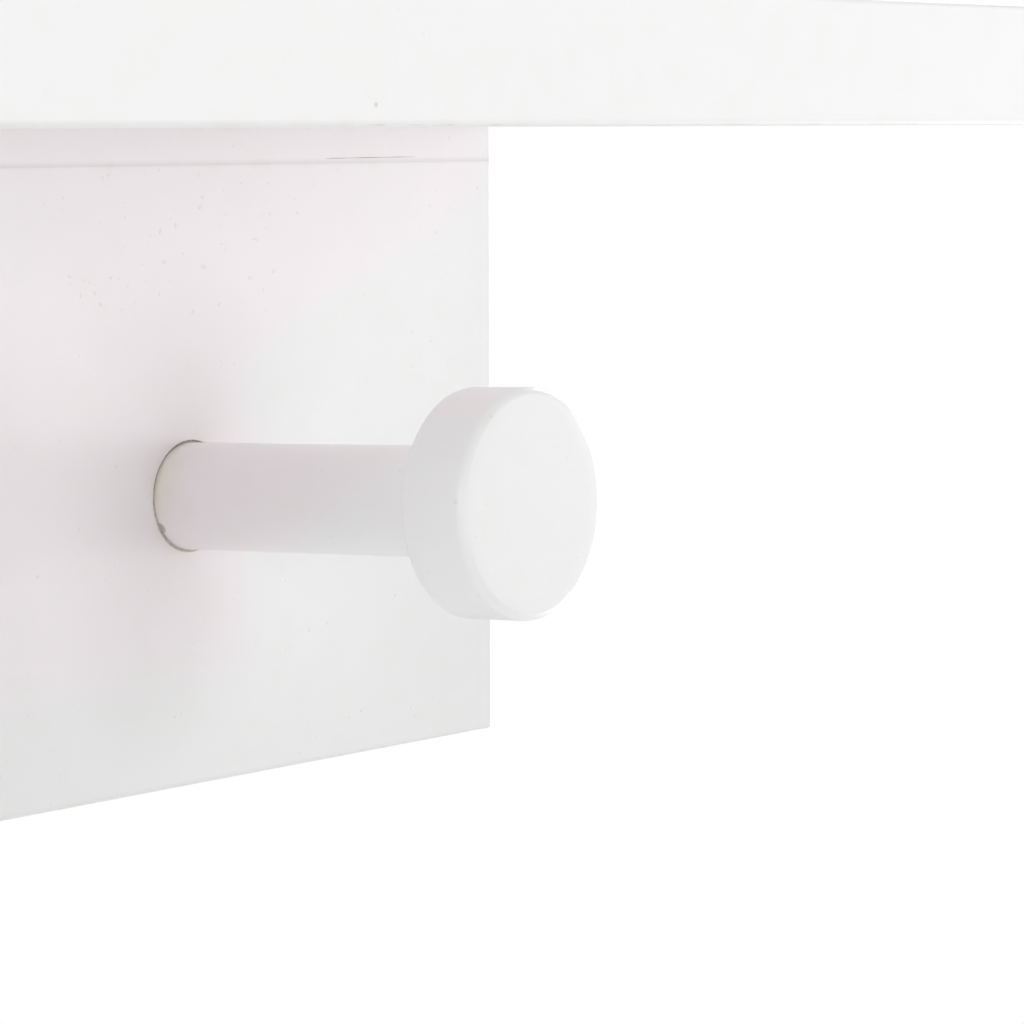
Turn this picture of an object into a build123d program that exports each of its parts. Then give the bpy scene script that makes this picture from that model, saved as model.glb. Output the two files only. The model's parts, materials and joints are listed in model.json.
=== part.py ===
from build123d import *
import os
from math import cos, radians, sin

# Wall hook rack: a shelf on the top edge of a hook board that carries four turned pegs.
# Millimetres. +X runs along the rack, +Y goes into the wall and +Z is up.
# The origin is on the wall plane, midway between the two keyhole hangers, at the
# height of their round entry holes.

# Overall sizes
rack_length = 750.0
shelf_depth = 180.0  # wall to the shelf's front edge
shelf_thickness = 20.0
board_height = 123.0  # hook board and lipping together, up to the shelf
board_thickness = 18.0
lipping_height = 7.2  # hardwood strip glued along the hook board's top edge
edge_radius = 1.0  # sanded arrises of the painted boards

# Pegs: a dowel stem with a turned disc head
peg_count = 4
peg_end_distance = 93.0  # rack end to the outer peg's axis
peg_height = 54.5  # board's bottom edge to the peg's axis, at the front face
peg_tilt = 1.9  # degrees upward, so that coats stay on
stem_diameter = 20.0
stem_reach = 66.0  # board face to the back of the head
socket_depth = 10.0  # how far the stem is let into the board
socket_clearance = 0.5  # radial, seen as a fine gap round the stem
head_diameter = 41.0
head_thickness = 14.0
head_front_radius = 2.0
head_back_radius = 1.2
tenon_diameter = 12.0
tenon_length = 9.0
tenon_end_gap = 0.5  # room for glue at the bottom of the head's bore

# Screws: threads are modelled as plain shanks that fill their pilot holes
screw_clearance = 0.25  # radial, where a screw passes freely
peg_screw_diameter = 4.5
peg_screw_length = 35.0
peg_screw_head = 9.0
peg_screw_sink = 1.0  # head's top below the board's back face
recess_share = 0.45  # cross recess length as a share of the head's diameter
recess_width_share = 0.13

# Shelf joint: dowels, and screws in slanting pockets cut from the board's back
dowel_count = 5
dowel_end_distance = 20.0
dowel_diameter = 8.0
dowel_in_shelf = 11.0
dowel_in_board = 18.0
dowel_end_gap = 1.0  # room for glue at each end
dowel_chamfer = 0.8
flute_count = 8
flute_radius = 0.5
pocket_screw_count = 4
pocket_end_distance = 40.0
pocket_angle = 15.0  # degrees from upright
pocket_bore = 9.5
pocket_web = 16.0  # wood between the screw head's seat and the board's top edge
pocket_screw_diameter = 4.0
pocket_screw_length = 30.0
pocket_screw_head = 8.6
pocket_screw_head_height = 2.6

# Keyhole hangers, let into the board's back
hanger_spacing = 400.0
hanger_drop = 35.0  # shelf's underside to the round entry holes
hanger_length = 42.0
hanger_width = 16.0
hanger_thickness = 1.5
hanger_sink = 0.2  # plate's outer face below the board's back face
hanger_fit = 0.15  # gap round the plate in its recess
entry_diameter = 10.0
slot_width = 5.0
slot_rise = 9.0  # entry's centre to the centre of the slot's closed end
hanger_screw_spacing = 32.0
hanger_screw_diameter = 3.0
hanger_screw_length = 12.0
hanger_screw_head = 5.5
hanger_pocket_depth = 10.0  # from the back face, room for a wall screw's head
hanger_pocket_margin = 1.5  # pocket beyond the keyhole's outline

# Levels and places that follow from the sizes
board_top = hanger_drop
board_bottom = board_top - board_height
board_front = -board_thickness
lipping_bottom = board_top - lipping_height
peg_level = board_bottom + peg_height
hanger_middle = (slot_rise + slot_width / 2 - entry_diameter / 2) / 2


def spread(count, end_distance):
    """X places of equally spaced features, the outer ones end_distance from the rack's ends."""
    first = -rack_length / 2 + end_distance
    pitch = (rack_length - 2 * end_distance) / (count - 1)
    return [first + pitch * i for i in range(count)]


peg_places = spread(peg_count, peg_end_distance)
dowel_places = spread(dowel_count, dowel_end_distance)
pocket_places = spread(pocket_screw_count, pocket_end_distance)
hanger_places = {"left": -hanger_spacing / 2, "right": hanger_spacing / 2}


def peg_frame(x):
    """Peg axis: z = 0 at the board's front face, +z out along the peg."""
    tilt = radians(peg_tilt)
    return Plane((x, board_front, peg_level), x_dir=(1, 0, 0), z_dir=(0, -cos(tilt), sin(tilt))).location


def pocket_frame(x):
    """Pocket screw axis: z = 0 at the board's top edge, +z up into the shelf."""
    lean = radians(pocket_angle)
    origin = (x, board_front / 2, board_top)
    return Plane(origin, x_dir=(1, 0, 0), z_dir=(0, -sin(lean), cos(lean))).location


def hanger_frame(x):
    """Hanger axis: x along the rack, y up, z = 0 at the wall plane, +z into the board."""
    return Plane((x, 0, 0), x_dir=(1, 0, 0), z_dir=(0, -1, 0)).location


def rod(diameter, low, high):
    """Round bar on the z axis from low to high."""
    return Pos(0, 0, low) * Cylinder(diameter / 2, high - low, align=(Align.CENTER, Align.CENTER, Align.MIN))


def cone(low_diameter, high_diameter, low, high):
    """Round taper on the z axis from low to high."""
    taper = Cone(low_diameter / 2, high_diameter / 2, high - low, align=(Align.CENTER, Align.CENTER, Align.MIN))
    return Pos(0, 0, low) * taper


def bar(size_x, size_y, size_z):
    """Block in the corner between three positive sizes, centred on x only."""
    return Box(size_x, size_y, size_z, align=(Align.CENTER, Align.MIN, Align.MIN))


def cross_recess(head_diameter_here):
    """Driver recess cut down into a head whose top is at z = 0."""
    length = recess_share * head_diameter_here
    width = recess_width_share * head_diameter_here
    depth = length / 2
    arm = Box(length, width, 2 * depth)
    return arm + Rot(0, 0, 90) * arm


def countersunk_screw(diameter, length, head):
    """90 degree countersunk wood screw: head's top at z = 0, shank along +z."""
    head_depth = (head - diameter) / 2
    point = diameter
    screw = cone(head, diameter, 0, head_depth) + rod(diameter, head_depth, length - point)
    screw += cone(diameter, 0.2 * diameter, length - point, length)
    return screw - cross_recess(head)


def pan_screw(diameter, length, head, head_height):
    """Flat-seated wood screw: head from z = -head_height to 0, shank along +z."""
    crown = rod(head, -head_height, 0)
    crown = fillet(crown.edges().sort_by(Axis.Z)[0], head_height * 0.45)
    point = diameter
    screw = crown + rod(diameter, 0, length - point)
    screw += cone(diameter, 0.2 * diameter, length - point, length)
    return screw - Pos(0, 0, -head_height) * cross_recess(head)


def keyhole(height):
    """Keyhole prism: round entry on the z axis, slot rising along +y."""
    slot = Pos(0, slot_rise / 2, 0) * Box(slot_width, slot_rise, height)
    closed_end = Pos(0, slot_rise, 0) * Cylinder(slot_width / 2, height)
    return Cylinder(entry_diameter / 2, height) + slot + closed_end


def hanger_outline(grow):
    """Plate outline with round ends, standing along y and centred on the keyhole."""
    outline = SlotOverall(hanger_length + 2 * grow, hanger_width + 2 * grow, rotation=90)
    return Pos(0, hanger_middle, 0) * outline


def hanger_screw_points():
    half = hanger_screw_spacing / 2
    return [Pos(0, hanger_middle - half, hanger_sink), Pos(0, hanger_middle + half, hanger_sink)]


def soften(solid, edges):
    return fillet(edges, edge_radius)


def shelf_board():
    shelf = Pos(0, -shelf_depth, board_top) * bar(rack_length, shelf_depth, shelf_thickness)
    front = shelf.faces().sort_by(Axis.Y)[0]
    ends = shelf.edges().filter_by(Axis.Y)
    shelf = soften(shelf, front.edges() + ends)
    tools = []
    for x in dowel_places:
        tools.append(Pos(x, board_front / 2, board_top) * rod(dowel_diameter, -1, dowel_in_shelf + dowel_end_gap))
    for x in pocket_places:
        reach = pocket_screw_length - pocket_web
        tools.append(pocket_frame(x) * rod(pocket_screw_diameter, -2, reach))
    return shelf - tools


def board_blank(low, high, round_bottom):
    blank = Pos(0, board_front, low) * bar(rack_length, board_thickness, high - low)
    front = blank.faces().sort_by(Axis.Y)[0]
    edges = front.edges().filter_by(Axis.Z)
    if round_bottom:
        bottom = blank.faces().sort_by(Axis.Z)[0]
        edges = edges + bottom.edges().filter_by(Axis.Y) + (front.edges() & bottom.edges())
    return soften(blank, edges)


def shelf_joint_tools():
    """What the dowels and pocket screws need cut out of the hook board and its lipping."""
    tools = []
    for x in dowel_places:
        depth = dowel_in_board + dowel_end_gap
        tools.append(Pos(x, board_front / 2, board_top) * rod(dowel_diameter, -depth, 1))
    for x in pocket_places:
        way_out = 2 * board_thickness / sin(radians(pocket_angle))
        passage = rod(pocket_screw_diameter + 2 * screw_clearance, -pocket_web - 1, 2)
        tools.append(pocket_frame(x) * (rod(pocket_bore, -way_out, -pocket_web) + passage))
    return tools


def peg_tools():
    """Sockets for the stems, and countersunk holes for their screws from behind."""
    head_top = -(board_thickness - peg_screw_sink)
    head_depth = (peg_screw_head - peg_screw_diameter) / 2
    socket = rod(stem_diameter + 2 * socket_clearance, -socket_depth, stem_reach)
    passage = rod(peg_screw_diameter + 2 * screw_clearance, head_top, 0)
    seat = cone(peg_screw_head, peg_screw_diameter, head_top, head_top + head_depth)
    sink = rod(peg_screw_head, head_top - board_thickness, head_top)
    return [peg_frame(x) * (socket + passage + seat + sink) for x in peg_places]


def hanger_tools():
    """Recess for the plate, pocket for the wall screw's head, and pilot holes."""
    recess_depth = hanger_sink + hanger_thickness
    recess = Pos(0, 0, -1) * extrude(hanger_outline(hanger_fit), recess_depth + 1)
    width = entry_diameter + 2 * hanger_pocket_margin
    height = 2 * hanger_middle + entry_diameter + 2 * hanger_pocket_margin
    pocket = Pos(0, hanger_middle, 0) * Box(width, height, 2 * hanger_pocket_depth)
    pocket = fillet(pocket.edges().filter_by(Axis.Z), width * 0.45)
    tool = recess + pocket
    for place in hanger_screw_points():
        tool += place * rod(hanger_screw_diameter, 0, hanger_screw_length)
    return [hanger_frame(x) * tool for x in hanger_places.values()]


def hook_board():
    blank = board_blank(board_bottom, lipping_bottom, round_bottom=True)
    return blank - (shelf_joint_tools() + peg_tools() + hanger_tools())


def top_lipping():
    blank = board_blank(lipping_bottom, board_top, round_bottom=False)
    return blank - shelf_joint_tools()


def peg_stem():
    stem = rod(stem_diameter, -socket_depth, stem_reach) + rod(tenon_diameter, stem_reach, stem_reach + tenon_length)
    pilot_end = peg_screw_length - (board_thickness - peg_screw_sink)
    return stem - rod(peg_screw_diameter, -socket_depth - 1, pilot_end)


def peg_head():
    disc = rod(head_diameter, stem_reach, stem_reach + head_thickness)
    rims = disc.edges().sort_by(Axis.Z)
    disc = fillet(rims[-1], head_front_radius)
    disc = fillet(disc.faces().sort_by(Axis.Z)[0].edges(), head_back_radius)
    return disc - rod(tenon_diameter, stem_reach - 1, stem_reach + tenon_length + tenon_end_gap)


def peg_screw():
    screw = countersunk_screw(peg_screw_diameter, peg_screw_length, peg_screw_head)
    return Pos(0, 0, -(board_thickness - peg_screw_sink)) * screw


def shelf_dowel(x):
    dowel = rod(dowel_diameter, -dowel_in_board, dowel_in_shelf)
    dowel = chamfer(dowel.edges().filter_by(GeomType.CIRCLE), dowel_chamfer)
    flute = Pos(dowel_diameter / 2, 0, 0) * rod(2 * flute_radius, -dowel_in_board - 1, dowel_in_shelf + 1)
    flutes = [Rot(0, 0, 360 * i / flute_count) * flute for i in range(flute_count)]
    return Pos(x, board_front / 2, board_top) * (dowel - flutes)


def shelf_screw():
    screw = pan_screw(pocket_screw_diameter, pocket_screw_length, pocket_screw_head, pocket_screw_head_height)
    return Pos(0, 0, -pocket_web) * screw


def hanger_plate():
    plate = Pos(0, 0, hanger_sink) * extrude(hanger_outline(0), hanger_thickness)
    plate -= keyhole(4 * hanger_thickness)
    head_depth = (hanger_screw_head - hanger_screw_diameter) / 2
    for place in hanger_screw_points():
        seat = cone(hanger_screw_head, hanger_screw_diameter, 0, head_depth)
        plate -= place * (seat + rod(hanger_screw_diameter, 0, 2 * hanger_thickness))
    return plate


def hanger_screws():
    screw = countersunk_screw(hanger_screw_diameter, hanger_screw_length, hanger_screw_head)
    return [place * screw for place in hanger_screw_points()]


def save(name, *solids):
    shape = solids[0] if len(solids) == 1 else Compound(children=list(solids))
    export_step(shape, f"parts/{name}.step")


os.makedirs("parts", exist_ok=True)
save("shelf_board", shelf_board())
save("hook_board", hook_board())
save("top_lipping", top_lipping())
for number, x in enumerate(peg_places, 1):
    save(f"peg_stem_{number}", peg_frame(x) * peg_stem())
    save(f"peg_head_{number}", peg_frame(x) * peg_head())
    save(f"peg_screw_{number}", peg_frame(x) * peg_screw())
for number, x in enumerate(dowel_places, 1):
    save(f"shelf_dowel_{number}", shelf_dowel(x))
for number, x in enumerate(pocket_places, 1):
    save(f"shelf_screw_{number}", pocket_frame(x) * shelf_screw())
for side, x in hanger_places.items():
    save(f"hanger_plate_{side}", hanger_frame(x) * hanger_plate())
    save(f"hanger_screws_{side}", *[hanger_frame(x) * screw for screw in hanger_screws()])
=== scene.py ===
import bpy, json, math, random
from mathutils import Matrix, Vector


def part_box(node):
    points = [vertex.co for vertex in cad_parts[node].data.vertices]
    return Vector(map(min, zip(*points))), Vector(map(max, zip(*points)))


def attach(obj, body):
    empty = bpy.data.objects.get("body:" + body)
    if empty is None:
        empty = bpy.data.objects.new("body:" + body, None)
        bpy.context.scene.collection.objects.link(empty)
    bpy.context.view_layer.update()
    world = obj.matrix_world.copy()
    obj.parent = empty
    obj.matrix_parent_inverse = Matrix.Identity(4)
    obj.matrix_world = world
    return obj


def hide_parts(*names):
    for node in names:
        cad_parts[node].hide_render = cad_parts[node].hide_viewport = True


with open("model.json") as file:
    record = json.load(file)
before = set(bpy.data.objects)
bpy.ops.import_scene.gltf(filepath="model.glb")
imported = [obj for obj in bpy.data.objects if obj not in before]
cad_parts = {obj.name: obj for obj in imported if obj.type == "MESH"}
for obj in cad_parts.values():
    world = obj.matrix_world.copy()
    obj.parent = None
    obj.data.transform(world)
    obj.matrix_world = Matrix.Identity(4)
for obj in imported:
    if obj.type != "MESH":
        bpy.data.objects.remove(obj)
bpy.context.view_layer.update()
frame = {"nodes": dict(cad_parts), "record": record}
print("frame loaded:", len(frame["nodes"]), "nodes")

scene = bpy.context.scene
nodes = frame["nodes"]
mm = 0.001

# places and sizes read from the frame
shelfLow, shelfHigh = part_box("shelf_board")
boardLow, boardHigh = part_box("hook_board")
lippingLow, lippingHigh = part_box("top_lipping")
boardFace = boardLow.y
pegMounts = [m for m in frame["record"]["mounts"] if m["name"].startswith("hanging_peg")]


def pegPlace(mount):
    # peg's own axis: z = 0 on the board's face, +z out towards the head
    out = Vector(mount["axis"])
    middle = Vector(mount["pos_m"])
    foot = middle + out * ((boardFace - middle.y) / out.y)
    side = Vector((1, 0, 0))
    rise = out.cross(side)
    return Matrix.Translation(foot) @ Matrix((side, rise, out)).transposed().to_4x4()


def turnedPoints(node, place):
    # a round node's points as (radius, height) in millimetres along a peg's axis
    back = place.inverted()
    local = [back @ v.co for v in nodes[node].data.vertices]
    return [(math.hypot(p.x, p.y) / mm, p.z / mm) for p in local]


pegPlaces = [pegPlace(m) for m in pegMounts]
pegFoot = pegPlaces[0].translation
pegPitch = pegPlaces[1].translation.x - pegFoot.x
pegOut = Vector(pegMounts[0]["axis"])

# stands in front of the rack's left end and looks along the board to the right-hand peg
camera = dict(
    place=(-0.30271, -0.5333, 0.03551), turn=(84.6931, 0.1414, -53.0316),
    lens=147.17, sensor=36, near=0.02, far=60,
)


def placeCamera():
    cameraData = bpy.data.cameras.new("camera")
    cameraData.lens = camera["lens"]
    cameraData.sensor_width = camera["sensor"]
    cameraData.clip_start = camera["near"]
    cameraData.clip_end = camera["far"]
    holder = bpy.data.objects.new("camera", cameraData)
    holder.location = camera["place"]
    holder.rotation_euler = [math.radians(a) for a in camera["turn"]]
    scene.collection.objects.link(holder)
    scene.camera = holder


# lamps stand round a point near the right-hand peg: degrees round, degrees up, metres away
studio = dict(
    floorDrop=1.6, floorRadius=5.0, floorSides=96, floorGlow=0.488,
    worldSeen=1.0, worldMirrored=1.0,
    aim=(0.27, -0.05, -0.03),
    lamps={
        "farLeft": dict(round=-75, up=14, away=2.4, size=1.3, power=19.5),
        "farRight": dict(round=85, up=-12, away=2.4, size=1.3, power=34.1),
        "pastShelf": dict(round=100, up=35, away=1.2, size=0.5, power=7.1),
        "highRight": dict(round=35, up=35, away=1.2, size=0.9, power=1.75),
        "nearLeft": dict(round=-60, up=24, away=1.0, size=0.5, power=3.51),
        "lowLeft": dict(round=-30, up=-8, away=1.0, size=0.5, power=0.49),
        "front": dict(round=0, up=-2, away=1.0, size=0.5, power=2.25),
        "nearRight": dict(round=50, up=10, away=1.0, size=0.5, power=1.25),
        "overShelf": dict(round=0, up=80, away=2.4, size=1.3, power=3),
        "backLeft": dict(round=215, up=25, away=2.4, size=1.3, power=14),
        "backRight": dict(round=145, up=25, away=2.4, size=1.3, power=14),
    },
)


def makeWorld():
    world = bpy.data.worlds.new("white tent")
    scene.world = world
    world.use_nodes = True
    tree = world.node_tree
    back = tree.nodes["Background"]
    back.inputs["Color"].default_value = (1, 1, 1, 1)
    path = tree.nodes.new("ShaderNodeLightPath")
    mix = tree.nodes.new("ShaderNodeMix")
    mix.inputs["A"].default_value = 0
    mix.inputs["B"].default_value = studio["worldSeen"]
    tree.links.new(path.outputs["Is Camera Ray"], mix.inputs["Factor"])
    mirrored = tree.nodes.new("ShaderNodeMath")
    mirrored.operation = "MULTIPLY_ADD"
    mirrored.inputs[1].default_value = studio["worldMirrored"]
    tree.links.new(path.outputs["Is Glossy Ray"], mirrored.inputs[0])
    tree.links.new(mix.outputs["Result"], mirrored.inputs[2])
    tree.links.new(mirrored.outputs["Value"], back.inputs["Strength"])
    scene.view_settings.view_transform = "Standard"


def makeLamps():
    aim = Vector(studio["aim"])
    for name, data in studio["lamps"].items():
        turn = math.radians(data["round"])
        rise = math.radians(data["up"])
        level = data["away"] * math.cos(rise)
        lamp = bpy.data.lights.new(name, "AREA")
        lamp.shape = "SQUARE"
        lamp.size = data["size"]
        lamp.energy = data["power"]
        holder = bpy.data.objects.new(name, lamp)
        height = data["away"] * math.sin(rise)
        holder.location = aim + Vector((level * math.sin(turn), -level * math.cos(turn), height))
        holder.rotation_euler = (aim - holder.location).to_track_quat("-Z", "Y").to_euler()
        holder.visible_camera = False
        scene.collection.objects.link(holder)


placeCamera()
makeWorld()
makeLamps()
print("studio set:", len(studio["lamps"]), "lamps")


class Wire:
    # a node's output that can be used in sums, in millimetres or as a share from 0 to 1
    def __init__(self, finish, socket):
        self.finish = finish
        self.socket = socket

    def maths(self, operation, *values):
        return self.finish.add("ShaderNodeMath", dict(operation=operation), dict(enumerate(values)))

    def __add__(self, other):
        return self.maths("ADD", self, other)

    def __radd__(self, other):
        return self.maths("ADD", other, self)

    def __sub__(self, other):
        return self.maths("SUBTRACT", self, other)

    def __rsub__(self, other):
        return self.maths("SUBTRACT", other, self)

    def __mul__(self, other):
        return self.maths("MULTIPLY", self, other)

    def __rmul__(self, other):
        return self.maths("MULTIPLY", other, self)

    def __truediv__(self, other):
        return self.maths("DIVIDE", self, other)

    def __pow__(self, other):
        return self.maths("POWER", self, other)

    def least(self, other):
        return self.maths("MINIMUM", self, other)

    def most(self, other):
        return self.maths("MAXIMUM", self, other)

    def size(self):
        return self.maths("ABSOLUTE", self)

    def root(self):
        return self.maths("SQRT", self)

    def wrap(self, low, high):
        return self.maths("WRAP", self, high, low)

    def rise(self, low, high):
        # 0 at low and 1 at high, or falling where low is the greater
        ends = {"Value": self, "From Min": low, "From Max": high}
        return self.finish.add("ShaderNodeMapRange", dict(interpolation_type="SMOOTHSTEP"), ends)


# specks: sizes as a share of their radius, and where their edge starts and ends
dotLook = dict(least=0.5, spread=0.7, edge=(1.0, 0.45))


class Finish:
    # one material, with the pieces of shader work that every finish here needs
    def __init__(self, name, **uniform):
        self.material = bpy.data.materials.new(name)
        self.material.use_nodes = True
        self.tree = self.material.node_tree
        self.shader = self.tree.nodes["Principled BSDF"]
        for key, value in uniform.items():
            self.shader.inputs[key.replace("_", " ")].default_value = value

    def feed(self, socket, value):
        if isinstance(value, Wire):
            self.tree.links.new(value.socket, socket)
        else:
            socket.default_value = value

    def add(self, kind, settings=None, values=None, out=0):
        node = self.tree.nodes.new(kind)
        for key, setting in (settings or {}).items():
            setattr(node, key, setting)
        for key, value in (values or {}).items():
            self.feed(node.inputs[key], value)
        return Wire(self, node.outputs[out])

    def place(self):
        metres = self.add("ShaderNodeTexCoord", out="Object")
        return self.add("ShaderNodeVectorMath", dict(operation="SCALE"), {0: metres, "Scale": 1 / mm})

    def parts(self, vector):
        split = self.add("ShaderNodeSeparateXYZ", values={0: vector})
        return [Wire(self, s) for s in split.socket.node.outputs]

    def stretch(self, vector, by):
        return self.add("ShaderNodeVectorMath", dict(operation="MULTIPLY"), {0: vector, 1: by})

    def cloud(self, vector, grain, detail, rough=0.5, warp=0.0):
        # soft noise whose blobs are about grain millimetres across
        values = {"Vector": vector, "Scale": 1 / grain, "Detail": detail}
        values.update({"Roughness": rough, "Distortion": warp})
        return self.add("ShaderNodeTexNoise", {}, values)

    def cells(self, vector, spacing):
        # distance from the nearest cell's middle, and two random values of each cell's own
        cell = self.add("ShaderNodeTexVoronoi", {}, {"Vector": vector, "Scale": 1 / spacing})
        return cell, self.parts(Wire(self, cell.socket.node.outputs["Color"]))[:2]

    def dots(self, vector, spacing, radius, shares):
        # round specks about radius millimetres, of several kinds that each take a share of the cells
        away, (pick, bulk) = self.cells(vector, spacing)
        size = (bulk * dotLook["spread"] + dotLook["least"]) * (radius / spacing)
        spot = (away / size).rise(*dotLook["edge"])
        kinds = []
        start = 0
        for share in shares:
            over = pick.maths("GREATER_THAN", pick, start)
            under = pick.maths("LESS_THAN", pick, start + share)
            kinds.append(spot * over * under)
            start += share
        return kinds

    def blend(self, share, first, second):
        return self.add("ShaderNodeMix", dict(data_type="RGBA"), {0: share, 6: first, 7: second}, out=2)

    def finish(self, colour, roughness, height):
        # height is in millimetres
        self.feed(self.shader.inputs["Base Color"], colour)
        self.feed(self.shader.inputs["Roughness"], roughness)
        bump = self.add("ShaderNodeBump", {}, {"Height": height, "Distance": mm, "Strength": 1.0})
        self.feed(self.shader.inputs["Normal"], bump)
        return self.material


paintLook = dict(
    white=(0.86, 0.86, 0.86, 1), blush=(0.888, 0.838, 0.854, 1), worn=(0.80, 0.775, 0.74, 1),
    speck=(0.45, 0.435, 0.425, 1), dust=(0.82, 0.785, 0.785, 1), stain=(0.84, 0.80, 0.64, 1),
    # dull is the grey of painted shade (lower arrises, below each peg, towards the board's bottom) and of the
    # seam line
    grime=(0.40, 0.33, 0.27, 1), dull=(0.40, 0.38, 0.37, 1),
    core=(0.30, 0.20, 0.12, 1), coreDark=(0.17, 0.105, 0.06, 1),
    roughness=0.37, coatDepth=0.42,  # millimetres of a cut edge that paint has reached
    peel=0.018, peelGrain=2.4, nib=0.045, pit=0.03,
    driftGrain=46, blushDrift=0.4, blushLeast=0.75,
    mottleGrain=7, mottle=(0.40, 0.75), mottleShare=0.12, sheenDrift=0.08,
    speckSpacing=3.0, speckRadius=0.42, nibCells=0.20, pitCells=0.16, nibShare=0.06, pitShare=0.16,
)


def paintSkin(paint, place, blushShare, specks):
    # white satin coat: colour, roughness, height, and the mottle that wear follows
    drift = paint.cloud(place, paintLook["driftGrain"], detail=1)
    blush = (drift * paintLook["blushDrift"] + paintLook["blushLeast"]) * blushShare
    tone = paint.blend(blush, paintLook["white"], paintLook["blush"])
    mottle = paint.cloud(place, paintLook["mottleGrain"], detail=3, rough=0.62)
    wearAndShadowPatch = mottle.rise(*paintLook["mottle"]) * paintLook["mottleShare"]
    tone = paint.blend(wearAndShadowPatch, tone, paintLook["worn"])
    shares = (specks * paintLook["nibCells"], specks * paintLook["pitCells"])
    nibs, pits = paint.dots(place, paintLook["speckSpacing"], paintLook["speckRadius"], shares)
    specked = nibs * paintLook["nibShare"] + pits * paintLook["pitShare"]
    tone = paint.blend(specked, tone, paintLook["speck"])
    peel = paint.cloud(place, paintLook["peelGrain"], detail=1)
    height = peel * paintLook["peel"] + nibs * paintLook["nib"] - pits * paintLook["pit"]
    sheen = paintLook["roughness"] + (mottle - 0.5) * paintLook["sheenDrift"]
    return tone, sheen, height, mottle


def acrossPeg(x):
    # sideways from the nearest peg's axis
    pitch = pegPitch / mm
    return (x - pegFoot.x / mm + pitch / 2).wrap(0, pitch) - pitch / 2


def fromChip(across, above):
    # square of the distance from the chip beside a peg's root
    chipAcross, chipAbove = socketEdge["chip"]
    return (across - chipAcross) ** 2 + (above - chipAbove) ** 2


# millimetres from the board's edges or a peg's axis; a pair gives where a thing is absent and full
boardWearAndShade = dict(
    arris=(1.3, 0.1), arrisMottle=(0.45, 0.70), arrisShare=0.25, lowerArrisShade=(3, 1), lowerArrisShadeShare=0.2,
    blushEnd=78, blushTop=74, blushTopAt=(-12, 26), blushFade=(-7, 7), blushBottom=(16, 28),
    fibreStretch=(0.25, 1, 1), fibreGrain=1.4,
    wall=(-0.8, -0.2), wallMottle=0.25, wallFibre=0.75, wallThin=(0.42, 0.85), wallShare=0.40,
    bareRagged=0.3, bareFade=0.2, bareRough=0.9, thinRough=0.7, fibreDepth=0.12,
    stain=(12.6, 10.4), stainMottle=(0.3, 0.6), stainShare=0.3,
    # the next line places a painted soft shadow below each peg and painted shade towards the board's bottom
    shadowAcross=-10, shadowAbove=-26, shadowSpread=(32, 4), shadowShare=0.15, low=(-12, -46), lowShadeShare=0.045,
    skin=(1.0, 0.6), chipRagged=0.9, chipFull=0.3, chipShare=0.7, chipDepth=0.05,
    seam=(0.62, 0.1), seamWander=0.3, seamFibre=0.04, seamLeast=0.01, seamDepth=0.006,
    markCore=0.4, markShare=0.5, markDepth=0.03,
)


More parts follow.
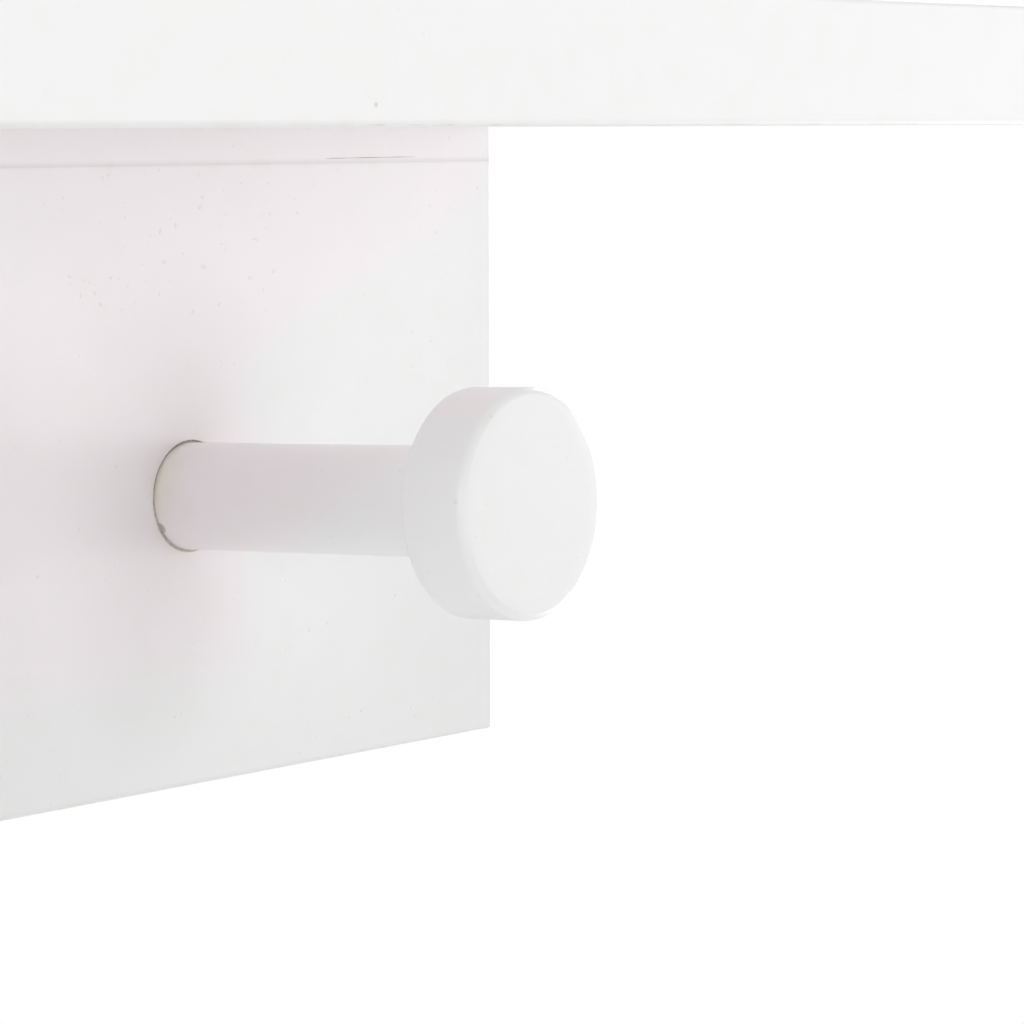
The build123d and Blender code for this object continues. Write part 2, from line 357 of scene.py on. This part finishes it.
def boardFinish(name, low, high, flush=0.0, specks=1.0, pegs=False, seam=False, mark=None):
    wear = boardWearAndShade
    paint = Finish(name)
    place = paint.place()
    x, y, z = paint.parts(place)
    gaps = []
    for along, start, end in zip((x, y, z), low / mm, high / mm):
        gaps.append((along - start).least(end - along))
    deep = gaps[0].least(gaps[1]).least(gaps[2])
    near = [gap.rise(*wear["arris"]) for gap in gaps]
    arris = near[0] * near[1] + near[1] * near[2] + near[0] * near[2]

    # the flush stops short of the rack's ends, less so near the top, and of its bottom edge
    limit = wear["blushEnd"] - z.rise(*wear["blushTopAt"]) * wear["blushTop"]
    bottom = [boardLow.z / mm + up for up in wear["blushBottom"]]
    share = (gaps[0] - limit).rise(*wear["blushFade"]) * z.rise(*bottom) * flush
    tone, sheen, height, mottle = paintSkin(paint, place, share, specks)

    # sanded arrises: the coat is thinner and a little rubbed, and the lower ones get painted shade
    thinned = arris * mottle.rise(*wear["arrisMottle"]) * wear["arrisShare"]
    tone = paint.blend(thinned, tone, paintLook["worn"])
    # painted shade along the lower arrises
    under = near[1] * near[2] * (z - low.z / mm).rise(*wear["lowerArrisShade"])
    tone = paint.blend(under * wear["lowerArrisShadeShare"], tone, paintLook["dull"])

    # the wall side has one thin coat, with the board's fibres showing through
    along = paint.stretch(place, wear["fibreStretch"])
    fibre = paint.cloud(along, wear["fibreGrain"], detail=3, rough=0.65)
    back = (y - high.y / mm).rise(*wear["wall"])
    thin = back * (mottle * wear["wallMottle"] + fibre * wear["wallFibre"]).rise(*wear["wallThin"])

    # cut surfaces inside bores and recesses are bare board
    coat = paintLook["coatDepth"]
    bare = (deep + fibre * wear["bareRagged"]).rise(coat, coat + wear["bareFade"])
    core = paint.blend(fibre, paintLook["coreDark"], paintLook["core"])
    tone = paint.blend(thin * wear["wallShare"], tone, core)

    if pegs:
        across = acrossPeg(x)
        above = z - pegFoot.z / mm
        away = (across * across + above * above).root()
        stain = away.rise(*wear["stain"]) * mottle.rise(*wear["stainMottle"]) * wear["stainShare"]
        tone = paint.blend(stain, tone, paintLook["stain"])

        # painted soft shadow below and to the left of each peg's root, and painted shade darkening the board
        # towards its bottom
        shadowAcross = across - wear["shadowAcross"]
        shadowAbove = above - wear["shadowAbove"]
        wearAndShadowPatch = (shadowAcross * shadowAcross + shadowAbove * shadowAbove).root().rise(*wear["shadowSpread"])
        paintedShade = wearAndShadowPatch * wear["shadowShare"] + above.rise(*wear["low"]) * wear["lowShadeShare"]
        tone = paint.blend(paintedShade, tone, paintLook["dull"])
        skin = (y - boardFace / mm).rise(*wear["skin"])
        ragged = fromChip(across, above).root() + (fibre - 0.5) * wear["chipRagged"]
        chip = ragged.rise(socketEdge["chipOnBoard"], wear["chipFull"]) * skin
        tone = paint.blend(chip * wear["chipShare"], tone, paintLook["grime"])
        height = height - chip * wear["chipDepth"]

    if seam:
        # soft hairline where the lipping meets the board
        offset = z - lippingLow.z / mm + (mottle - 0.5) * wear["seamWander"]
        line = offset.size().rise(*wear["seam"])
        darker = line * (fibre * wear["seamFibre"] + wear["seamLeast"])
        tone = paint.blend(darker, tone, paintLook["dull"])
        height = height - line * wear["seamDepth"]

    if mark:
        # one small dirty dent in the front edge
        markX, markZ, markSize = mark
        spot = ((x - markX) ** 2 + (z - markZ) ** 2).root().rise(markSize, markSize * wear["markCore"])
        tone = paint.blend(spot * wear["markShare"], tone, paintLook["speck"])
        height = height - spot * wear["markDepth"]

    tone = paint.blend(bare, tone, core)
    sheen = sheen + (wear["bareRough"] - sheen) * bare.most(thin * wear["thinRough"])
    height = height + bare.most(thin) * fibre * wear["fibreDepth"]
    return paint.finish(tone, sheen, height)


# millimetres along, above and across a peg's axis; a pair gives where a thing is absent and full
pegWear = dict(
    blush=(47, 37), blushLean=1.5, blushRim=(15, 17.5), blushRimAlong=(79, 76),
    turning=(0.05, 0.05, 1), turningGrain=0.9, turningDepth=0.006,
    stain=(10.5, 1.0), stainLean=0.6, stainAbove=(-2.0, 8.0), stainMottle=(0.25, 0.60), stainShare=0.5,
    edge=(0.85, 0.35), edgeRagged=1.1, edgeShare=0.2, edgeDepth=0.02,
    chipLong=1.4, chipRagged=1.2, chipFull=0.8, chipShare=0.66, chipDepth=0.03, chipRough=0.4,
)


def pegFinish(name):
    wear = pegWear
    paint = Finish(name)
    place = paint.place()
    x, y, z = paint.parts(place)
    across = acrossPeg(x)
    along = (y - pegFoot.y / mm) * pegOut.y + (z - pegFoot.z / mm) * pegOut.z
    above = (z - pegFoot.z / mm) * -pegOut.y + (y - pegFoot.y / mm) * pegOut.z
    onPeg = paint.add("ShaderNodeCombineXYZ", {}, {0: across, 1: above, 2: along})
    rim = above.rise(*wear["blushRim"]) * along.rise(*wear["blushRimAlong"])
    share = (along - above * wear["blushLean"]).rise(*wear["blush"]).most(rim)
    tone, sheen, height, mottle = paintSkin(paint, place, share, 1.0)

    # fine turning lines across the coat
    lines = paint.cloud(paint.stretch(onPeg, wear["turning"]), wear["turningGrain"], detail=1)
    height = height + lines * wear["turningDepth"]

    # handled stain near the board, on the side away from the rack's middle
    leaning = (above - across * wear["stainLean"]).rise(*wear["stainAbove"])
    stain = along.rise(*wear["stain"]) * leaning * mottle.rise(*wear["stainMottle"])
    tone = paint.blend(stain * wear["stainShare"], tone, paintLook["stain"])
    edge = (along + mottle * wear["edgeRagged"]).rise(*wear["edge"])
    far = fromChip(across, above) + along * along * wear["chipLong"]
    chip = (far.root() + (mottle - 0.5) * wear["chipRagged"]).rise(socketEdge["chipOnStem"], wear["chipFull"])
    grime = (edge * wear["edgeShare"]).most(chip * wear["chipShare"])
    tone = paint.blend(grime, tone, paintLook["grime"])
    height = height - edge * wear["edgeDepth"] - chip * wear["chipDepth"]
    return paint.finish(tone, sheen + chip * wear["chipRough"], height)


woodLook = dict(
    pale=(0.60, 0.42, 0.26, 1), dark=(0.40, 0.25, 0.14, 1), fleck=(0.30, 0.17, 0.09, 1),
    glue=(0.60, 0.56, 0.51, 1), glueDark=(0.40, 0.365, 0.33, 1),
)


def beechFinish(name, grain):
    # grain is small along the fibres and 1 across them
    wood = Finish(name)
    place = wood.place()
    long = wood.stretch(place, grain)
    rings = wood.cloud(long, 2.4, detail=4, rough=0.6, warp=0.6)
    fibre = wood.cloud(long, 0.35, detail=3)
    tone = wood.blend(rings.rise(0.3, 0.7), woodLook["pale"], woodLook["dark"])
    flecks = wood.dots(long, 1.1, 0.22, (0.45,))
    tone = wood.blend(flecks[0] * 0.5, tone, woodLook["fleck"])
    return wood.finish(tone, 0.62 + fibre * 0.15, fibre * 0.03 + rings * 0.02)


def glueFinish(name):
    glue = Finish(name)
    place = glue.place()
    lumps = glue.cloud(place, 0.8, detail=4, rough=0.6)
    tone = glue.blend(lumps.rise(0.35, 0.65), woodLook["glueDark"], woodLook["glue"])
    return glue.finish(tone, 0.35 + lumps * 0.3, lumps * 0.15)


zincLook = dict(
    bright=(0.56, 0.57, 0.585, 1), dull=(0.38, 0.39, 0.40, 1), dark=(0.10, 0.095, 0.09, 1),
    spangleSize=1.8, roughness=0.36,
)


def zincFinish(name):
    zinc = Finish(name, Metallic=1.0)
    place = zinc.place()
    spangle = zinc.cells(place, zincLook["spangleSize"])[1][0]
    lines = zinc.cloud(zinc.stretch(place, (0.08, 1, 1)), 0.25, detail=3)
    tarnish = zinc.cloud(place, 5, detail=4, rough=0.6).rise(0.45, 0.8)
    tone = zinc.blend(spangle * 0.5 + tarnish * 0.4, zincLook["bright"], zincLook["dull"])
    tone = zinc.blend(zinc.dots(place, 2.3, 0.16, (0.12,))[0] * 0.6, tone, zincLook["dark"])
    sheen = zincLook["roughness"] + spangle * 0.10 + lines * 0.12 + tarnish * 0.1
    return zinc.finish(tone, sheen, lines * 0.006)


def nibFinish(name):
    dust = Finish(name)
    place = dust.place()
    lumps = dust.cloud(place, 0.5, detail=1)
    tone = dust.blend(lumps.rise(0.30, 0.60), paintLook["dust"], paintLook["worn"])
    return dust.finish(tone, 0.45 + lumps * 0.2, lumps * 0.02)


def crackShadeFinish(name):
    # painted shade of the open crack, mixed from the bare board core's dark and dirt
    crack = Finish(name)
    place = crack.place()
    dust = crack.cloud(crack.stretch(place, (0.3, 1, 1)), 0.5, detail=3)
    tone = crack.blend(dust, paintLook["coreDark"], paintLook["grime"])
    return crack.finish(tone, 0.8 + dust * 0.1, dust * 0.03)


floorLook = dict(pale=(0.86, 0.86, 0.86, 1), paler=(0.90, 0.90, 0.90, 1), glow=(0.98, 0.98, 0.98, 1),
                 glowMore=(1, 1, 1, 1), driftGrain=400, gritGrain=6)


def floorFinish(name):
    pale = Finish(name, Emission_Strength=studio["floorGlow"])
    place = pale.place()
    drift = pale.cloud(place, floorLook["driftGrain"], detail=3)
    grit = pale.cloud(place, floorLook["gritGrain"], detail=3)
    tone = pale.blend(drift, floorLook["pale"], floorLook["paler"])
    glow = pale.blend(drift, floorLook["glow"], floorLook["glowMore"])
    pale.feed(pale.shader.inputs["Emission Color"], glow)
    return pale.finish(tone, 0.85 + grit * 0.1, grit * 0.05)


# places on the board round each peg, in millimetres across and above its axis, and a size
socketEdge = dict(
    chip=(-8.5, -5.4), chipOnBoard=0.8, chipOnStem=1.3,
    fillerLow=-1.4, fillerHigh=-0.13, fillerCrown=0.04, fit=0.02, wobble=0.14, wobbleGrain=5.0,
    widest=1.5, smoothing=60,
)
shelfLook = dict(specks=0.12, mark=(136.4, 38.0, 0.5))  # the mark's x, z and radius

finishes = dict(
    shelf=boardFinish("shelf paint", shelfLow, shelfHigh, **shelfLook),
    board=boardFinish("hook board paint", boardLow, boardHigh, flush=1.0, pegs=True, seam=True),
    lipping=boardFinish("lipping paint", lippingLow, lippingHigh, flush=1.0, seam=True),
    peg=pegFinish("peg paint"),
    stemWood=beechFinish("beech along the peg", (1, 0.12, 1)),
    dowelWood=beechFinish("beech dowel", (1, 1, 0.12)),
    glue=glueFinish("dried glue"),
    zinc=zincFinish("zinc plate"),
    nib=nibFinish("dust in the paint"),
    crack=crackShadeFinish("open crack shade"),
    floor=floorFinish("pale floor"),
)
cadFinishes = {"shelf_board": "shelf", "hook_board": "board", "top_lipping": "lipping"}
for name, node in nodes.items():
    slotName = node.data.materials[0].name
    key = cadFinishes.get(name) or {"peg_paint": "peg", "beech": "dowelWood", "zinc_steel": "zinc"}[slotName]
    node.data.materials[0] = finishes[key]
print("finishes made:", len(finishes))


def clearSelection():
    bpy.ops.object.select_all(action="DESELECT")


def editAll():
    bpy.ops.object.mode_set(mode="EDIT")
    bpy.ops.mesh.select_mode(type="VERT")
    bpy.ops.mesh.select_all(action="SELECT")


def turned(name, outline, around, hollow=False):
    # lathe work: rings of (radius, height) in millimetres drawn out of a first small disc
    clearSelection()
    radius, height = outline[0]
    fill = "NOTHING" if hollow else "NGON"
    bpy.ops.mesh.primitive_circle_add(
        vertices=around, radius=radius * mm, fill_type=fill, location=(0, 0, height * mm))
    piece = bpy.context.object
    piece.name = name
    editAll()
    for nextRadius, nextHeight in outline[1:]:
        step = (0, 0, (nextHeight - height) * mm)
        bpy.ops.mesh.extrude_region_move(TRANSFORM_OT_translate={"value": step})
        share = nextRadius / radius
        bpy.ops.transform.resize(value=(share, share, 1), center_override=(0, 0, nextHeight * mm))
        radius, height = nextRadius, nextHeight
    bpy.ops.mesh.select_all(action="SELECT")
    bpy.ops.mesh.remove_doubles(threshold=1e-6)
    bpy.ops.mesh.normals_make_consistent(inside=False)
    bpy.ops.object.mode_set(mode="OBJECT")
    bpy.ops.object.transform_apply(location=True, rotation=True, scale=True)
    return piece


def arc(middle, radius, start, end, steps):
    # ring points round a corner, in degrees from straight outwards
    angles = [math.radians(start + (end - start) * i / steps) for i in range(steps + 1)]
    return [(middle[0] + radius * math.cos(a), middle[1] + radius * math.sin(a)) for a in angles]


def climb(radius, low, high, steps):
    return [(radius, low + (high - low) * i / steps) for i in range(steps + 1)]


def setDown(piece, name, place):
    # a copy of a finished piece with a mesh of its own, put in its place
    copy = bpy.data.objects.new(name, piece.data.copy())
    scene.collection.objects.link(copy)
    copy.data.transform(place)
    return copy


def roughen(piece, grain, depth):
    # uneven surface, grain and depth in millimetres
    clearSelection()
    piece.select_set(True)
    bpy.context.view_layer.objects.active = piece
    lumps = bpy.data.textures.new(piece.name + " lumps", "CLOUDS")
    lumps.noise_scale = grain * mm
    lumps.noise_depth = 2
    modifier = piece.modifiers.new("lumps", "DISPLACE")
    modifier.texture = lumps
    modifier.texture_coords = "GLOBAL"
    modifier.strength = depth * mm
    modifier.mid_level = 0.5
    bpy.ops.object.modifier_apply(modifier="lumps")


def smooth(piece, degrees):
    clearSelection()
    piece.select_set(True)
    bpy.context.view_layer.objects.active = piece
    bpy.ops.object.shade_smooth_by_angle(angle=math.radians(degrees))


stem = dict(around=96, startWidth=0.4, footChamfer=0.8, bead=0.9, beadReach=1.5, rings=26, endChamfer=0.6,
            grain=11, unevenness=0.10, smoothing=40, bareFoot=-0.9, bareTop=0.05, bareInside=1.5)
ringGap = 1  # millimetres between an edge and the first ring beside it
axisRadius = 1  # points nearer to the axis than this are the middle of a flat end


def stemOutline(points, reach, tenon):
    low = min(h for r, h in points)
    high = max(h for r, h in points)
    radius = max(r for r, h in points)
    bore = min(r for r, h in points if r > axisRadius)
    boreEnd = max(h for r, h in points if r < bore + 0.01)
    start = stem["startWidth"] / 2
    foot = stem["footChamfer"]
    lip = stem["endChamfer"]
    outline = [(start, boreEnd), (bore, boreEnd)] + climb(bore, boreEnd - ringGap, low, 4)
    outline += [(radius - foot, low), (radius, low + foot)]
    outline += climb(radius, -ringGap, reach - stem["beadReach"], stem["rings"])
    # coat gathered in the corner against the head
    outline += arc((radius + stem["bead"], reach - stem["beadReach"]), stem["bead"], 180, 90, 5)[1:-1]
    outline = [p for p in outline if p[1] <= reach]
    outline += [(radius + stem["bead"], reach), (tenon, reach)]
    outline += climb(tenon, reach + ringGap, high - lip, 3) + [(tenon - lip, high), (start, high)]
    return outline


head = dict(around=144, startWidth=0.4, backArris=1.2, frontArris=1.6, crown=0.10, inset=0.06, rings=9,
            grain=8, unevenness=0.09, smoothing=40, bareRound=0.4, bareDeep=9.6)


def headOutline(points):
    low = min(h for r, h in points)
    high = max(h for r, h in points) - head["inset"]
    radius = max(r for r, h in points)
    bore = min(r for r, h in points if r > axisRadius)
    boreEnd = max(h for r, h in points if r < bore + 0.01)
    start = head["startWidth"] / 2
    back = head["backArris"]
    front = head["frontArris"]
    rimHigh = high - head["crown"]
    outline = [(start, boreEnd), (bore, boreEnd)] + climb(bore, boreEnd - ringGap, low, 3)
    outline += arc((radius - back, low + back), back, -90, 0, 6)
    outline += climb(radius, low + back + ringGap, rimHigh - front - ringGap, 4)
    outline += arc((radius - front, rimHigh - front), front, 0, 90, 9)
    flat = radius - front
    for i in range(1, head["rings"]):
        share = 1 - i / head["rings"]
        outline.append((flat * share, high - head["crown"] * share * share))
    outline.append((start, high))
    return outline


def dressBare(piece, place, isBare):
    # bare wood where paint never reached
    piece.data.materials.clear()
    piece.data.materials.append(finishes["peg"])
    piece.data.materials.append(finishes["stemWood"])
    back = place.inverted()
    for face in piece.data.polygons:
        middle = back @ face.center
        if isBare(math.hypot(middle.x, middle.y) / mm, middle.z / mm):
            face.material_index = 1


def makePegs():
    stemPoints = turnedPoints("peg_stem_1", pegPlaces[0])
    headPoints = turnedPoints("peg_head_1", pegPlaces[0])
    reach = min(h for r, h in headPoints)
    tenon = min(r for r, h in headPoints if r > axisRadius)
    stemRadius = max(r for r, h in stemPoints)

    def bareStem(r, h):
        ends = h < stem["bareFoot"] or h > reach - stem["bareTop"]
        return ends or r < stemRadius - stem["bareInside"]

    def bareHead(r, h):
        return r < tenon + head["bareRound"] and h < reach + head["bareDeep"]

    firstStem = turned("stem", stemOutline(stemPoints, reach, tenon), stem["around"])
    firstHead = turned("head", headOutline(headPoints), head["around"])
    for number, place in enumerate(pegPlaces, 1):
        piece = setDown(firstStem, f"turned_stem_{number}", place)
        roughen(piece, stem["grain"], stem["unevenness"])
        dressBare(piece, place, bareStem)
        smooth(piece, stem["smoothing"])
        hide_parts(f"peg_stem_{number}")
        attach(piece, "root")
        piece = setDown(firstHead, f"turned_head_{number}", place)
        roughen(piece, head["grain"], head["unevenness"])
        dressBare(piece, place, bareHead)
        smooth(piece, head["smoothing"])
        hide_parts(f"peg_head_{number}")
        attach(piece, "root")
    bpy.data.objects.remove(firstStem)
    bpy.data.objects.remove(firstHead)
    return stemRadius


def makeFiller(stemRadius):
    # dried glue low in the gap round each stem
    points = turnedPoints("hook_board", pegPlaces[0])
    socketRadius = max(r for r, h in points if stemRadius < r < stemRadius + socketEdge["widest"])
    inner = stemRadius + socketEdge["fit"]
    outer = socketRadius - socketEdge["fit"]
    low = socketEdge["fillerLow"]
    high = socketEdge["fillerHigh"]
    crown = ((inner + outer) / 2, high + socketEdge["fillerCrown"])
    outline = [(inner, low), (outer, low), (outer, high), crown, (inner, high), (inner, low)]
    first = turned("filler", outline, stem["around"], hollow=True)
    for number, place in enumerate(pegPlaces, 1):
        piece = setDown(first, f"socket_glue_{number}", place)
        piece.data.materials.append(finishes["glue"])
        roughen(piece, socketEdge["wobbleGrain"], socketEdge["wobble"])
        smooth(piece, socketEdge["smoothing"])
        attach(piece, "root")
    bpy.data.objects.remove(first)


makeFiller(makePegs())
print("pegs turned:", len(pegPlaces))


nibs = dict(
    seed=7, nearPeg=56, elsewhere=40, radius=(0.30, 0.78), proud=0.30, sunk=0.72,
    across=(-36, 26), above=(34, 62),  # the dustiest patch, from each peg's axis
    longer=(0.8, 1.6), clearBelow=4, clearAbove=1, clearSide=3,
)


def nibPlaces():
    # seeded places for dust caught in the paint on the board's face
    draw = random.Random(nibs["seed"])
    half = pegPitch / mm / 2
    lowest = boardLow.z / mm + nibs["clearBelow"]
    highest = boardHigh.z / mm - nibs["clearAbove"]
    board = []
    for place in pegPlaces:
        foot = place.translation / mm
        for i in range(nibs["nearPeg"]):
            board.append((foot.x + draw.uniform(*nibs["across"]), foot.z + draw.uniform(*nibs["above"])))
        for i in range(nibs["elsewhere"]):
            board.append((foot.x + draw.uniform(-half, half), draw.uniform(lowest, highest)))
    return draw, [p for p in board if abs(p[0]) < boardHigh.x / mm - nibs["clearSide"]]


def makeNibs(places, draw):
    clearSelection()
    bpy.ops.mesh.primitive_ico_sphere_add(subdivisions=1, radius=mm, location=(0, 0, 0))
    first = bpy.context.object
    first.data.materials.append(finishes["nib"])
    copies = []
    for x, z in places:
        radius = draw.uniform(*nibs["radius"])
        depth = radius * nibs["proud"] * nibs["sunk"] * mm  # only a shallow cap stands out
        longer = radius * draw.uniform(*nibs["longer"])
        size = Matrix.Diagonal((radius, radius * nibs["proud"], longer, 1))
        spin = Matrix.Rotation(draw.uniform(0, math.pi), 4, "Y")
        spot = Matrix.Translation((x * mm, boardFace + depth, z * mm))
        copies.append(setDown(first, "board_paint_nibs", spot @ spin @ size))
    bpy.data.objects.remove(first)
    clearSelection()
    for piece in copies:
        piece.select_set(True)
    bpy.context.view_layer.objects.active = copies[0]
    bpy.ops.object.join()
    piece = bpy.context.object
    piece.name = "board_paint_nibs"
    bpy.ops.object.shade_smooth()
    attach(piece, "root")


crack = dict(start=(322.0, 28.82), end=(350.0, 28.95), flat=0.35, around=8, smoothing=60,
             widths=((0.01, 0), (0.05, 3), (0.03, 8), (0.065, 13), (0.03, 18), (0.05, 23), (0.01, 28)))


def makeCrack():
    # a hair crack in the lipping's coat, above the seam near the rack's right end, drawn as a dark sliver:
    # painted shade of the open crack, coloured as bare core and dirt
    piece = turned("lipping_crack", crack["widths"], crack["around"])
    (startX, startZ), (endX, endZ) = crack["start"], crack["end"]
    lean = Matrix.Rotation(-math.atan2(endZ - startZ, endX - startX), 4, "Y")
    lay = Matrix.Rotation(math.radians(90), 4, "Y")
    press = Matrix.Diagonal((1, crack["flat"], 1, 1))
    piece.data.transform(Matrix.Translation((startX * mm, lippingLow.y, startZ * mm)) @ lean @ press @ lay)
    piece.data.materials.append(finishes["crack"])
    smooth(piece, crack["smoothing"])
    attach(piece, "root")


draw, boardSpots = nibPlaces()
makeNibs(boardSpots, draw)
makeCrack()
print("nibs and crack made:", len(boardSpots))


def makeFloor():
    clearSelection()
    level = boardLow.z - studio["floorDrop"]
    bpy.ops.mesh.primitive_circle_add(
        vertices=studio["floorSides"], radius=studio["floorRadius"], fill_type="NGON", location=(0, 0, level))
    floor = bpy.context.object
    floor.name = "studioFloor"
    floor.data.materials.append(finishes["floor"])
    bpy.ops.object.transform_apply(location=True, rotation=True, scale=True)


makeFloor()
